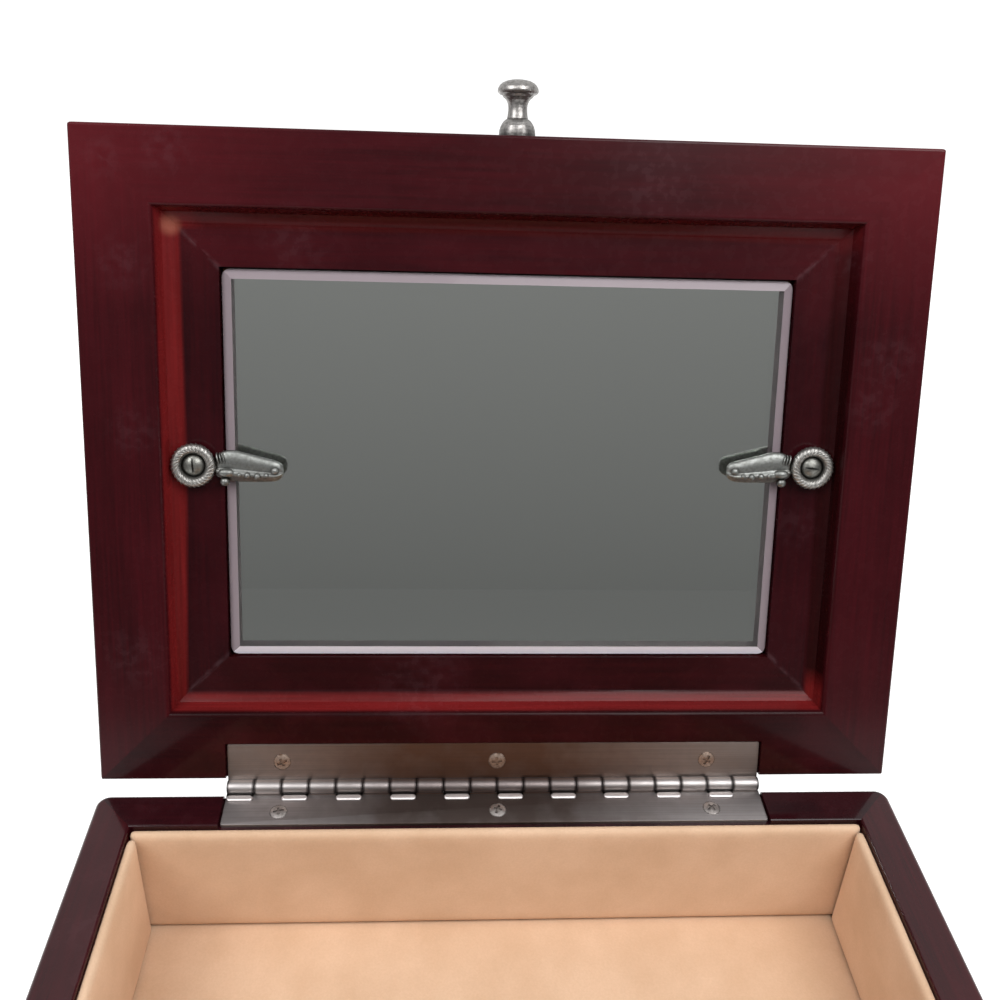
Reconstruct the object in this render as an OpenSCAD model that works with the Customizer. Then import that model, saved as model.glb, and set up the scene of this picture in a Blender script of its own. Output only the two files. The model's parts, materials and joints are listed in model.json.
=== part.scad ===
// Small lacquered box with a lined tray and a hinged lid.
// The inside of the lid holds a bevelled mirror with two turning clips.
// Origin: centre of the underside. +X to the right, +Y to the hinge side, +Z up.
// The lid is drawn standing open, as it does while the mirror is in use.

/* [Box] */
// Width of the box and of its lid
box_w = 190; // [175:1:230]
// Depth of the box and of its lid
box_d = 150; // [140:1:180]
// Height of the box without its lid
box_h = 38; // [32:1:70]
// Thickness of the walls
wall_t = 9.4; // [9.4:0.2:12]
// Radius of the upright corners
corner_r = 3; // [3:0.5:5]
// Rounding of the rim's outer edge
rim_edge_r = 1.2; // [0.6:0.1:1.4]
// Rounding of the bottom's outer edge
foot_edge_r = 0.8; // [0.4:0.1:1.4]
// Thickness of the bottom board
bottom_t = 4; // [3:0.5:5]
// Width of the rebate that holds the bottom board
rebate_w = 4; // [2:0.5:5]

/* [Lining] */
// Thickness of the lining pads on the walls
lining_t = 2.5; // [1.5:0.1:3]
// Thickness of the lining pad on the floor
floor_pad_t = 1.6; // [1:0.1:3]
// Depth of the lining's top edge below the rim
lining_drop = 0.5; // [0:0.1:2]

/* [Lid] */
// Angle at which the lid stands open
open_angle = 108; // [0:1:108]
// Thickness of the lid
lid_t = 15; // [14:0.5:20]
// Gap between the closed lid and the rim
lid_gap = 0.4; // [0.3:0.1:1]
// Width of the outer rails of the lid
rail_w = 16.8; // [15:0.1:17]
// Radius of the lid's corners
lid_corner_r = 1; // [0.6:0.1:3]
// Rounding of the lid's outer edges
lid_edge_r = 0.6; // [0.3:0.1:0.6]
// Depth of the step from the outer rails to the inner rails
recess_d = 5.5; // [5:0.5:7]
// Rounding of the edge where the step begins
recess_edge_r = 0.9; // [0.3:0.1:1]
// Run of the step's steep face
recess_slope = 1; // [0.2:0.1:1.2]
// Run of the cove at the foot of the step
cove_w = 2.6; // [1:0.1:3]
// Rise of the cove at the foot of the step
cove_h = 1.3; // [0.5:0.1:1.3]
// Thickness of the inner rails round the mirror
inner_rail_t = 4.5; // [4:0.5:5]

/* [Mirror] */
// Width of the mirror plate
mirror_w = 130; // [120:0.1:132]
// Height of the mirror plate, from the hinge to the knob
mirror_h = 91; // [80:0.1:95]
// Thickness of the mirror plate
mirror_t = 3; // [2:0.5:3]
// Distance of the mirror's centre from the lid's hinge edge
mirror_mid = 74.6; // [73:0.1:77]
// Radius of the mirror's corners
mirror_corner_r = 2; // [1:0.1:3]
// Width of the bevel round the mirror
bevel_w = 2.2; // [1:0.1:5]
// Height of the bevel round the mirror
bevel_h = 0.9; // [0.3:0.1:1.2]
// Gap between the mirror and the inner rails
mirror_gap = 0.4; // [0.2:0.1:1]
// Depth of the mirror's face below the inner rails
mirror_drop = 0.3; // [0.1:0.1:0.6]

/* [Hinge] */
// Length of the hinge
hinge_len = 128.8; // [100:0.2:135]
// Offset of the hinge from the middle of the box
hinge_x = -1; // [-2:0.5:2]
// Number of knuckles, half of them on each leaf
knuckles = 20; // [10:2:24]
// Outer radius of the barrel
barrel_r = 1.65; // [1.5:0.05:1.8]
// Radius of the hinge pin
pin_r = 0.8; // [0.7:0.05:0.9]
// Thickness of the leaves
leaf_t = 0.8; // [0.6:0.05:0.8]
// Distance from the pin to the free edge of each leaf
leaf_reach = 10.6; // [9.5:0.1:10.8]
// Distance from the pin to the screws of the box leaf
box_screw_reach = 6.9; // [6:0.1:7.5]
// Distance from the pin to the screws of the lid leaf
lid_screw_reach = 6; // [5.8:0.1:7.5]
// Distance between the screws along the hinge
screw_pitch = 51.5; // [40:0.5:55]

/* [Turning clips] */
// Distance of each clip's screw from the middle of the lid
clip_x = 71.8; // [70:0.1:71.8]
// Distance of the clips' screws from the lid's hinge edge
clip_mid = 76.4; // [70:0.1:80]
// How much further from the hinge the right clip sits than the left one
clip_stagger = 1.1; // [0:0.1:2]
// Outer radius of the roped ring
ring_r = 5.5; // [4.8:0.1:5.5]
// Distance from the screw to the tip of the arm
arm_reach = 20.8; // [16:0.1:24]
// Number of strands in the roped ring
strands = 22; // [16:1:28]

/* [Knob] */
// Radius of the knob's head
knob_r = 4.55; // [4:0.05:6]
// Distance from the lid's edge to the middle of the knob's head
knob_head_at = 10; // [9:0.1:12]
// Offset of the knob from the middle of the lid
knob_x = 0.3; // [-2:0.1:2]

/* [Hidden] */
$fn = 48;

// Colours
lacquer = "#471a1d";
lacquer_inner = "#551d22";
suede = "#cda181";
steel = "#8f8781";
pewter = "#96968e";
glass = "#c9ced2";
board = "#8a6a4a";

// Box
cavity_w = box_w - 2 * wall_t;
cavity_d = box_d - 2 * wall_t;
floor_z = bottom_t + floor_pad_t;
lining_top = box_h - lining_drop;
lining_edge_r = 1.1;
ease_r = 0.5;
cut = 1;

// Hinge axis, behind the back face and half way up the gap under the closed lid
barrel_clear = 0.3;
axis_back = barrel_r + barrel_clear;
axis_y = box_d / 2 + axis_back;
axis_up = lid_gap / 2;
axis_z = box_h + axis_up;
knuckle_len = hinge_len / knuckles;
knuckle_gap = 0.15;
pin_clear = 0.05;
sheet_reach = 1.6;
ridge_from = 2;
ridge_to = 4;
ridge_up = 0.5;
mortise_clear = 0.4;
leaf_level = barrel_r - leaf_t;
mortise_d = barrel_r - axis_up;

// Lid, drawn with its inside facing up: X as in the box, Y from the hinge edge to the
// knob edge, Z = 0 on the plane of the outer rails
rail_foot_w = rail_w + recess_slope;
lid_opening_w = box_w - 2 * rail_foot_w;
lid_opening_d = box_d - 2 * rail_foot_w;
inner_face = -recess_d;
inner_back = inner_face - inner_rail_t;
panel_t = lid_t - recess_d - inner_rail_t;
mirror_face = inner_face - mirror_drop;
mirror_back = mirror_face - mirror_t;
window_w = mirror_w + 2 * mirror_gap;
window_h = mirror_h + 2 * mirror_gap;

// Screws
leaf_screw_r = 0.85;
leaf_screw_len = 7;
leaf_head_r = 2.15;
leaf_head_up = 0.4;
clip_screw_r = 1.3;
clip_screw_len = 6;
clip_head_r = 2.65;
clip_head_up = 1.8;
slot_w = 0.55;

// Turning clips
clip_lift = 0.1;
rope_r = 1.05;
rope_mid_r = ring_r - rope_r;
rope_z = 2.2;
hub_foot_r = 2.5;
dish_t = 1.7;
strand_r = 0.36;
blade_lift = 0.7;
blade_t = 1.2;
blade_top = blade_lift + blade_t;
tip_r = 1.6;
blade_widest = 9.5;
blade_half_max = 4.1;
blade_root = 4.6;
tip_x = arm_reach - tip_r;

// Knob
knob_foot_r = 4.05;
knob_foot_h = 0.9;
knob_waist_r = 2.35;
knob_waist_at = 4.1;
knob_neck_r = 2.1;
knob_neck_at = 6.2;
knob_flare_r = 3.6;
knob_flare_at = knob_head_at - 1.4;
knob_head_high = 2.4;
knob_stud_r = 1.5;
knob_stud_len = 9;
lid_middle = -lid_t / 2;

// Block with round upright corners
module slab(w, d, h, r) {
  linear_extrude(h) {
    square([w - 2 * r, d], center = true);
    square([w, d - 2 * r], center = true);
    for (x = [-1, 1], y = [-1, 1])
      translate([x * (w / 2 - r), y * (d / 2 - r)]) circle(r);
  }
}

// Quarter of a circle, as points from the given angle on
function quarter(x, y, r, from) =
  [for (a = [0:15:90]) [x + r * cos(from + a), y + r * sin(from + a)]];

// Bar along X whose ends are mitred and whose upright outer corners are rounded. Its outer
// face lies on y = 0. The child is its cross-section: distance from the outer face, height.
module mitred_bar(len, width, h) {
  straight = len - 2 * corner_r;
  half = straight / 2;
  inner = width - corner_r;
  intersection() {
    rotate([90, 0, 90]) linear_extrude(straight, center = true) children();
    translate([0, 0, -h]) linear_extrude(2 * h)
      polygon([
        [-half, -cut], [half, -cut], [half, corner_r],
        [half - inner, width], [inner - half, width], [-half, corner_r]
      ]);
  }
  for (end = [-1, 1])
    translate([end * half, corner_r, 0]) rotate([0, 0, end < 0 ? -135 : -90])
      rotate_extrude(angle = 45) intersection() {
        translate([corner_r, 0]) mirror([1, 0]) children();
        translate([0, -h]) square([corner_r, 2 * h]);
      }
}

// Turns a bar to one side of a frame of the box's size; turn 0 is the -Y side
module frame_side(turn) {
  rotate([0, 0, turn]) translate([0, -(turn % 180 == 0 ? box_d : box_w) / 2, 0]) children();
}

// Cross-section of a wall, with the rebate for the bottom board
module wall_outline() {
  polygon(concat(
    quarter(foot_edge_r, foot_edge_r, foot_edge_r, 180),
    [[wall_t - rebate_w, 0], [wall_t - rebate_w, bottom_t], [wall_t, bottom_t]],
    quarter(wall_t - ease_r, box_h - ease_r, ease_r, 0),
    quarter(rim_edge_r, box_h - rim_edge_r, rim_edge_r, 90)
  ));
}

// One mitred wall; turn is its direction from the front wall
module box_wall(turn) {
  frame_side(turn) mitred_bar(turn % 180 == 0 ? box_w : box_d, wall_t, box_h) wall_outline();
}

module box_wall_front() { color(lacquer) box_wall(0); }
module box_wall_right() { color(lacquer) box_wall(90); }
module box_wall_left() { color(lacquer) box_wall(270); }
module box_wall_back() {
  color(lacquer) difference() {
    box_wall(180);
    translate([hinge_x - hinge_len / 2 - mortise_clear, box_d / 2 - wall_t - cut, box_h - mortise_d])
      cube([hinge_len + 2 * mortise_clear, wall_t + 2 * cut, mortise_d + cut]);
    leaf_screws(box_screw_reach) screw_shank(leaf_screw_r, leaf_screw_len);
  }
}

module bottom_board() {
  color(board) translate([-cavity_w / 2 - rebate_w, -cavity_d / 2 - rebate_w, 0])
    cube([cavity_w + 2 * rebate_w, cavity_d + 2 * rebate_w, bottom_t]);
}

// Lining pad along one wall, with a rounded top edge; its back is on y = 0
module lining_pad(len) {
  h = lining_top - floor_z;
  translate([-len / 2, 0, floor_z]) {
    cube([len, lining_t, h - lining_edge_r]);
    translate([0, lining_edge_r, 0]) cube([len, lining_t - 2 * lining_edge_r, h]);
    for (y = [lining_edge_r, lining_t - lining_edge_r])
      translate([0, y, h - lining_edge_r]) rotate([0, 90, 0]) cylinder(h = len, r = lining_edge_r);
  }
}

module lining_front() { color(suede) translate([0, -cavity_d / 2, 0]) lining_pad(cavity_w); }
module lining_back() { color(suede) rotate([0, 0, 180]) lining_front(); }
module lining_left() {
  color(suede) translate([-cavity_w / 2, 0, 0]) rotate([0, 0, -90]) lining_pad(cavity_d - 2 * lining_t);
}
module lining_right() { color(suede) rotate([0, 0, 180]) lining_left(); }
module lining_floor() {
  color(suede) translate([-cavity_w / 2, -cavity_d / 2, bottom_t]) cube([cavity_w, cavity_d, floor_pad_t]);
}

// Places what is drawn in the lid's own frame at the angle where the lid stands
module on_lid() {
  translate([0, axis_y, axis_z]) rotate([180 - open_angle, 0, 0])
    translate([0, axis_back, -axis_up]) children();
}

// Puts the closed leaf's parts, drawn round the pin, into the lid's own frame
module at_lid_pin() {
  translate([0, -axis_back, axis_up]) children();
}

// Outline of a knuckle and its tongue: the pin at the origin, the leaf towards +X. On the box
// leaf the tongue ends in a raised bar.
module knuckle_outline(barred) {
  bevel = ridge_up * 0.7;
  difference() {
    union() {
      circle(barrel_r);
      translate([0, -barrel_r]) square([sheet_reach + bevel, leaf_t]);
      if (barred) polygon([
        [ridge_from, -leaf_level - bevel], [ridge_to, -leaf_level - bevel], [ridge_to, -leaf_level],
        [ridge_to - bevel, -leaf_level + ridge_up], [ridge_from + bevel, -leaf_level + ridge_up],
        [ridge_from, -leaf_level]
      ]);
    }
    circle(pin_r + pin_clear);
  }
}

// One leaf with its knuckles: first is 0 or 1, the leaf runs towards -Y below the pin
module hinge_leaf(first, screw_reach, barred) {
  difference() {
    translate([-hinge_len / 2, -leaf_reach, -barrel_r]) cube([hinge_len, leaf_reach - sheet_reach, leaf_t]);
    for (i = [-1:1])
      translate([i * screw_pitch, -screw_reach, -leaf_level])
        screw_countersink(leaf_head_r, leaf_screw_r, leaf_t);
  }
  for (i = [first:2:knuckles - 1])
    translate([-hinge_len / 2 + i * knuckle_len + knuckle_gap / 2, 0, 0])
      rotate([90, 0, 90]) mirror([1, 0, 0]) linear_extrude(knuckle_len - knuckle_gap)
        knuckle_outline(barred);
}

module hinge_leaf_box() {
  color(steel) translate([hinge_x, axis_y, axis_z]) hinge_leaf(0, box_screw_reach, true);
}

module hinge_leaf_lid() {
  color(steel) on_lid() at_lid_pin() mirror([0, 1, 0]) translate([hinge_x, 0, 0])
    hinge_leaf(1, lid_screw_reach, false);
}

module hinge_pin() {
  color(steel) translate([hinge_x, axis_y, axis_z]) rotate([0, 90, 0])
    cylinder(h = hinge_len, r = pin_r, center = true);
}

// Countersunk cone whose wide end lies on z = 0
module screw_countersink(head, shank, depth) {
  translate([0, 0, -depth]) cylinder(h = depth, r1 = shank, r2 = head);
}

// Shank that starts on z = 0 and runs down to a point
module screw_shank(r, len) {
  point = 2 * r;
  translate([0, 0, point - len]) cylinder(h = len - point, r = r);
  translate([0, 0, -len]) cylinder(h = point, r1 = 0.2 * r, r2 = r);
}

// Dome with a cross recess; its flat side lies on z = 0
module screw_head(r, up) {
  ball = (r * r + up * up) / (2 * up);
  difference() {
    intersection() {
      translate([0, 0, up - ball]) sphere(ball);
      cylinder(h = up, r = r);
    }
    for (turn = [0, 90])
      rotate([0, 0, turn]) translate([-r * 0.55, -slot_w / 2, up * 0.35]) cube([r * 1.1, slot_w, up]);
  }
}

// Oval head screw of the hinge, with the leaf's outer face on z = 0
module leaf_screw() {
  screw_head(leaf_head_r, leaf_head_up);
  screw_countersink(leaf_head_r, leaf_screw_r, leaf_t);
  translate([0, 0, -leaf_t]) screw_shank(leaf_screw_r, leaf_screw_len - leaf_t);
}

// Copies its children to the three screws of the box leaf, with the leaf's face on z = 0
module leaf_screws(reach) {
  for (i = [-1:1])
    translate([hinge_x + i * screw_pitch, axis_y - reach, axis_z - leaf_level]) children();
}

module hinge_screws_box() { color(steel) leaf_screws(box_screw_reach) leaf_screw(); }

// Copies its children to the three screws of the lid leaf, in the lid's own frame
module lid_leaf_screws() {
  for (i = [-1:1])
    translate([hinge_x + i * screw_pitch, lid_screw_reach - axis_back, axis_up - leaf_level]) children();
}

module hinge_screws_lid() { color(steel) on_lid() lid_leaf_screws() leaf_screw(); }

// Cross-section of an outer rail of the lid; its inside face is on height 0
module lid_rail_outline() {
  polygon(concat(
    quarter(lid_edge_r, lid_edge_r - lid_t, lid_edge_r, 180),
    [[rail_foot_w, -lid_t], [rail_foot_w, cove_h - recess_d]],
    quarter(rail_w - recess_edge_r, -recess_edge_r, recess_edge_r, 0),
    quarter(lid_edge_r, -lid_edge_r, lid_edge_r, 90)
  ));
}

// One mitred outer rail, in the lid's own frame; turn is its direction from the hinge edge
module lid_rail(turn) {
  half = (turn % 180 == 0 ? box_w : box_d) / 2;
  translate([0, box_d / 2, 0]) intersection() {
    frame_side(turn) {
      intersection() {
        rotate([90, 0, 90]) linear_extrude(2 * half, center = true) lid_rail_outline();
        translate([0, 0, -lid_t - cut]) linear_extrude(lid_t + 2 * cut)
          polygon([
            [-half - cut, -cut], [half + cut, -cut],
            [half - rail_foot_w, rail_foot_w], [rail_foot_w - half, rail_foot_w]
          ]);
      }
    }
    translate([0, 0, -lid_t - cut]) slab(box_w, box_d, lid_t + 2 * cut, lid_corner_r);
  }
}

module lid_rail_back() {
  color(lacquer) on_lid() difference() {
    lid_rail(0);
    translate([hinge_x - hinge_len / 2 - mortise_clear, -cut, -mortise_d])
      cube([hinge_len + 2 * mortise_clear, leaf_reach - axis_back + mortise_clear + cut, mortise_d + cut]);
    lid_leaf_screws() screw_shank(leaf_screw_r, leaf_screw_len);
  }
}
module lid_rail_right() { color(lacquer) on_lid() lid_rail(90); }
module lid_rail_left() { color(lacquer) on_lid() lid_rail(270); }
module lid_rail_front() {
  color(lacquer) on_lid() difference() {
    lid_rail(180);
    at_knob() translate([0, 0, -knob_stud_len]) cylinder(h = knob_stud_len + cut, r = knob_stud_r);
  }
}

module lid_top_panel() {
  color(lacquer) on_lid() difference() {
    translate([-lid_opening_w / 2, rail_foot_w, -lid_t]) cube([lid_opening_w, lid_opening_d, panel_t]);
    at_clips() screw_shank(clip_screw_r, clip_screw_len);
  }
}

// Corners of the frame between the outer rails and the mirror: its outside, the foot of its
// cove and its window, each from the hinge side's left corner round to the knob side's left
sides = [[-1, -1], [1, -1], [1, 1], [-1, 1]];
outer_corners = [for (p = sides) [p[0] * lid_opening_w / 2, box_d / 2 + p[1] * lid_opening_d / 2]];
cove_corners = [for (i = [0:3]) outer_corners[i] - cove_w * sides[i]];
inner_corners = [for (p = sides) [p[0] * window_w / 2, mirror_mid + p[1] * window_h / 2]];

// Cross-section of an inner rail: distance from its outside, height over its face
module inner_rail_outline() {
  foot = -inner_rail_t - cut;
  polygon(concat(
    [[lid_opening_d / 2, 0], [lid_opening_d / 2, foot], [-cut, foot], [-cut, cove_h]],
    [for (t = [0:0.125:1]) [cove_w * t, cove_h * pow(1 - t, 1.3)]]
  ));
}

// One mitred inner rail, in the lid's own frame, counted from the hinge side
module inner_rail(i) {
  j = (i + 1) % 4;
  color(lacquer_inner) on_lid() difference() {
    intersection() {
      translate([0, 0, inner_back]) linear_extrude(inner_rail_t + cove_h + cut)
        polygon([
          outer_corners[i], outer_corners[j], cove_corners[j],
          inner_corners[j], inner_corners[i], cove_corners[i]
        ]);
      translate([0, box_d / 2, inner_face]) rotate([0, 0, 90 * i])
        translate([0, -(i % 2 == 0 ? lid_opening_d : lid_opening_w) / 2, 0])
          rotate([90, 0, 90]) linear_extrude(lid_opening_w, center = true) inner_rail_outline();
    }
    at_clips() screw_shank(clip_screw_r, clip_screw_len);
  }
}

module inner_rail_back() { inner_rail(0); }
module inner_rail_right() { inner_rail(1); }
module inner_rail_front() { inner_rail(2); }
module inner_rail_left() { inner_rail(3); }

// Cross-section of a plate of the given width with a bevel along both top edges
module bevel_section(w) {
  polygon([
    [-w / 2, 0], [w / 2, 0], [w / 2, mirror_t - bevel_h], [w / 2 - bevel_w, mirror_t],
    [-w / 2 + bevel_w, mirror_t], [-w / 2, mirror_t - bevel_h]
  ]);
}

module mirror_glass() {
  color(glass) on_lid() translate([0, mirror_mid, mirror_back]) intersection() {
    rotate([90, 0, 0]) linear_extrude(mirror_h, center = true) bevel_section(mirror_w);
    rotate([90, 0, 90]) linear_extrude(mirror_w, center = true) bevel_section(mirror_h);
    slab(mirror_w, mirror_h, mirror_t, mirror_corner_r);
  }
}

module mirror_backing() {
  color(board) on_lid() translate([-mirror_w / 2, mirror_mid - mirror_h / 2, inner_back])
    cube([mirror_w, mirror_h, mirror_back - inner_back]);
}

// Puts its children at one clip's screw, with the face of the inner rails on z = 0
module at_clip(s) {
  translate([s * clip_x, clip_mid + s * clip_stagger / 2, inner_face]) children();
}

// Copies its children to both clip screws
module at_clips() {
  for (s = [-1, 1])
    at_clip(s) children();
}

// Half the width of the clip's leaf-shaped arm at distance x from the screw
function blade_half(x) =
  tip_r + (blade_half_max - tip_r) * cos(90 * (x - blade_widest) / (tip_x - blade_widest));

// Dished ring with a roped edge, standing on z = 0 on a foot that clears the cove. Its strands
// lean one way on the left clip, hand 1, and the other way on the right clip, hand -1.
module roped_ring(hand) {
  difference() {
    union() {
      cylinder(h = rope_z, r1 = hub_foot_r, r2 = rope_mid_r);
      translate([0, 0, rope_z]) rotate_extrude() translate([rope_mid_r, 0]) circle(rope_r);
      for (i = [0:strands - 1])
        rotate([0, 0, i * 360 / strands]) translate([rope_mid_r, 0, rope_z + rope_r * 0.62])
          rotate([0, 0, 45 * hand]) rotate([90, 0, 0]) cylinder(h = 2.2, r = strand_r, center = true, $fn = 16);
    }
    translate([0, 0, dish_t]) cylinder(h = rope_z, r = rope_mid_r - rope_r * 0.9);
    translate([0, 0, -cut]) cylinder(h = dish_t + 2 * cut, r = clip_screw_r + pin_clear);
  }
}

// Ridge that lies on the arm from one point to another
module arm_ridge(from, to, r_from, r_to) {
  run = [to[0] - from[0], to[1] - from[1]];
  translate([from[0], from[1], blade_top]) rotate([0, 90, atan2(run[1], run[0])])
    cylinder(h = norm(run), r1 = r_from, r2 = r_to, $fn = 24);
}

// Leaf-shaped arm with three ridges, a scroll at its root and beads along its lower edge
module clip_arm(hand) {
  upper = [for (x = [blade_root:1:tip_x]) [x, blade_half(x)]];
  end = [for (a = [90:-15:-90]) [tip_x + tip_r * cos(a), tip_r * sin(a)]];
  lower = [for (i = [len(upper) - 1:-1:0]) [upper[i][0], -upper[i][1]]];
  translate([0, 0, blade_lift]) linear_extrude(blade_t) polygon(concat(upper, end, lower));
  arm_ridge([blade_root, 0.4 * hand], [tip_x, 0], 1.15, 1.0);
  arm_ridge([blade_root + 1, 2.3 * hand], [tip_x, 0.6 * hand], 1.1, 0.6);
  arm_ridge([blade_root + 1, -1.9 * hand], [tip_x, -0.6 * hand], 0.8, 0.6);
  translate([tip_x, 0, tip_r]) sphere(tip_r, $fn = 32);
  for (x = [9.2:1.7:tip_x])
    translate([x, hand * (0.5 - blade_half(x)), blade_top]) sphere(0.6, $fn = 24);
  for (s = [-1, 1])
    translate([blade_root + 2.4, s * 3.7, blade_top]) sphere(1.15, $fn = 32);
}

// One clip with its arm towards +X
module turn_clip(hand) {
  translate([0, 0, clip_lift]) {
    roped_ring(hand);
    clip_arm(hand);
  }
}

module turn_clip_left() {
  color(pewter) on_lid() at_clip(-1) turn_clip(1);
}
module turn_clip_right() {
  color(pewter) on_lid() at_clip(1) rotate([0, 0, 180]) turn_clip(-1);
}

module clip_screws() {
  color(pewter) on_lid() at_clips() {
    translate([0, 0, clip_lift + dish_t + pin_clear]) screw_head(clip_head_r, clip_head_up);
    cylinder(h = clip_lift + dish_t + pin_clear, r = clip_screw_r);
    screw_shank(clip_screw_r, clip_screw_len);
  }
}

// Places what is drawn along +Z on the lid's knob edge, in the lid's own frame
module at_knob() {
  translate([knob_x, box_d, lid_middle]) rotate([-90, 0, 0]) children();
}

module lid_knob() {
  foot_flare = knob_foot_r - knob_waist_r;
  foot = [for (a = [0:15:90])
    [knob_waist_r + foot_flare * pow(cos(a), 1.4), knob_foot_h + (knob_waist_at - knob_foot_h) * sin(a)]];
  neck = [for (t = [0:0.25:1])
    [knob_neck_r + 0.25 * pow(1 - t, 2), knob_waist_at + 0.15 + (knob_neck_at - knob_waist_at) * t]];
  flare_h = knob_flare_at - knob_neck_at;
  flare = [for (a = [15:15:75])
    [knob_flare_r - (knob_flare_r - knob_neck_r) * cos(a), knob_neck_at + 0.15 + flare_h * sin(a)]];
  head = [for (a = [-45:15:75])
    [knob_r * pow(cos(a), 0.7), knob_head_at + (a < 0 ? 1.2 : knob_head_high) * sin(a)]];
  color(pewter) on_lid() at_knob() {
    rotate_extrude() polygon(concat([[0, 0], [knob_foot_r, 0]], foot, neck, flare, head,
      [[0, knob_head_at + knob_head_high]]));
    translate([0, 0, -knob_stud_len]) cylinder(h = knob_stud_len, r = knob_stud_r);
  }
}

box_wall_front();
box_wall_back();
box_wall_left();
box_wall_right();
bottom_board();
lining_front();
lining_back();
lining_left();
lining_right();
lining_floor();
hinge_leaf_box();
hinge_leaf_lid();
hinge_pin();
hinge_screws_box();
hinge_screws_lid();
lid_rail_front();
lid_rail_back();
lid_rail_left();
lid_rail_right();
lid_top_panel();
inner_rail_front();
inner_rail_back();
inner_rail_left();
inner_rail_right();
mirror_glass();
mirror_backing();
turn_clip_left();
turn_clip_right();
clip_screws();
lid_knob();
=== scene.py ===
# Small box of lacquered cherry with a suede-lined tray and a mirror in its open lid.
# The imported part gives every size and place. Lengths are in metres and angles in degrees.
import json
import math
from contextlib import contextmanager

import bmesh
import bpy
from mathutils import Matrix, Vector


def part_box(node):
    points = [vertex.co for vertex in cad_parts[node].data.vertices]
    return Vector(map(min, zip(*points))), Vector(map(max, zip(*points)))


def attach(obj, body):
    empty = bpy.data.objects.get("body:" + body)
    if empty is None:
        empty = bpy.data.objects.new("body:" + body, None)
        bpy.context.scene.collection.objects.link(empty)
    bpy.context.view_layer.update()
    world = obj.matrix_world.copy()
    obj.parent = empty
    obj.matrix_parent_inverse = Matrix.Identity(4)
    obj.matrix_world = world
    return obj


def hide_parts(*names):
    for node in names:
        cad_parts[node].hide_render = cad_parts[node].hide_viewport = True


MM = 0.001

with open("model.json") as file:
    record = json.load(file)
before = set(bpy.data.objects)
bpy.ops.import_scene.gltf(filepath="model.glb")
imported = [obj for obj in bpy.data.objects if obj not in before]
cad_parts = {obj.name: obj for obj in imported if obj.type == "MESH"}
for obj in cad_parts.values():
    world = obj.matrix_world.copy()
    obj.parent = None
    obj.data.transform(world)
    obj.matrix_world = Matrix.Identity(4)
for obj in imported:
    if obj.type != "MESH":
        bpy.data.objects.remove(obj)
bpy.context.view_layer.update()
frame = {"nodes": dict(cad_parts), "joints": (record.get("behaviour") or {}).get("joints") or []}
bpy.ops.object.select_all(action="DESELECT")

# Places that the part gives
RIM_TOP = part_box("box_wall_front")[1].z
BACK_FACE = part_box("box_wall_back")[1].y
lid_joint = next(joint for joint in frame["joints"] if joint["name"] == "lid_hinge")
PIN = Vector(lid_joint["pos_m"])
OPEN_ANGLE = -lid_joint["range_deg"][0]

# The lid's own frame: X as in the box, Y from the hinge edge to the knob edge, Z off the inside
LID_TURN = math.radians(180 - OPEN_ANGLE)
LID = (
    Matrix.Translation((0, PIN.y, PIN.z))
    @ Matrix.Rotation(LID_TURN, 4, "X")
    @ Matrix.Translation((0, PIN.y - BACK_FACE, RIM_TOP - PIN.z))
)
BOX = Matrix.Identity(4)


def corners(node, frame_matrix=BOX):
    """Lowest and highest corner of a node, in the box's frame or in the lid's."""
    to_frame = frame_matrix.inverted()
    points = [to_frame @ vertex.co for vertex in frame["nodes"][node].data.vertices]
    low = Vector(min(point[i] for point in points) for i in range(3))
    high = Vector(max(point[i] for point in points) for i in range(3))
    return low, high


# Modelling
def activate(piece):
    """Selects one piece alone and makes it the active one."""
    bpy.ops.object.select_all(action="DESELECT")
    piece.select_set(True)
    bpy.context.view_layer.objects.active = piece


@contextmanager
def editing(piece):
    """Opens a piece in edit mode and closes it again."""
    activate(piece)
    bpy.ops.object.mode_set(mode="EDIT")
    yield
    bpy.ops.object.mode_set(mode="OBJECT")


def pick(kind, wanted):
    """Selects what is wanted of the open piece, told by its middle and its normal or direction."""
    bpy.ops.mesh.select_mode(type=kind)
    bpy.ops.mesh.select_all(action="DESELECT")
    mesh = bmesh.from_edit_mesh(bpy.context.edit_object.data)
    if kind == "FACE":
        found = [(face, face.calc_center_median(), face.normal) for face in mesh.faces]
    elif kind == "EDGE":
        ends = [(edge, *(vertex.co for vertex in edge.verts)) for edge in mesh.edges]
        found = [(edge, (a + b) / 2, (b - a).normalized()) for edge, a, b in ends]
    else:
        found = [(vertex, vertex.co, vertex.normal) for vertex in mesh.verts]
    for part, middle, way in found:
        if wanted(middle, way):
            part.select_set(True)
    mesh.select_flush_mode()
    bmesh.update_edit_mesh(bpy.context.edit_object.data)


def modify(piece, kind, **settings):
    """Adds a modifier with its settings and applies it."""
    made = piece.modifiers.new(kind.title(), kind)
    for name, value in settings.items():
        setattr(made, name, value)
    activate(piece)
    bpy.ops.object.modifier_apply(modifier=made.name)


def named(name):
    """Names the piece that was added last and puts its place into its mesh."""
    piece = bpy.context.active_object
    bpy.ops.object.transform_apply(location=True, rotation=True, scale=True)
    piece.name = name
    piece.data.name = name
    return piece


def block(name, low, high):
    """A cuboid between two corners."""
    low, high = Vector(low), Vector(high)
    bpy.ops.mesh.primitive_cube_add(size=1, location=(low + high) / 2, scale=high - low)
    return named(name)


def ball(name, middle, radii, turn=0.0, segments=16):
    """An ellipsoid, turned about the vertical."""
    bpy.ops.mesh.primitive_uv_sphere_add(
        segments=segments,
        ring_count=segments // 2,
        radius=1,
        location=middle,
        rotation=(0, 0, turn),
        scale=radii,
    )
    return named(name)


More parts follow.
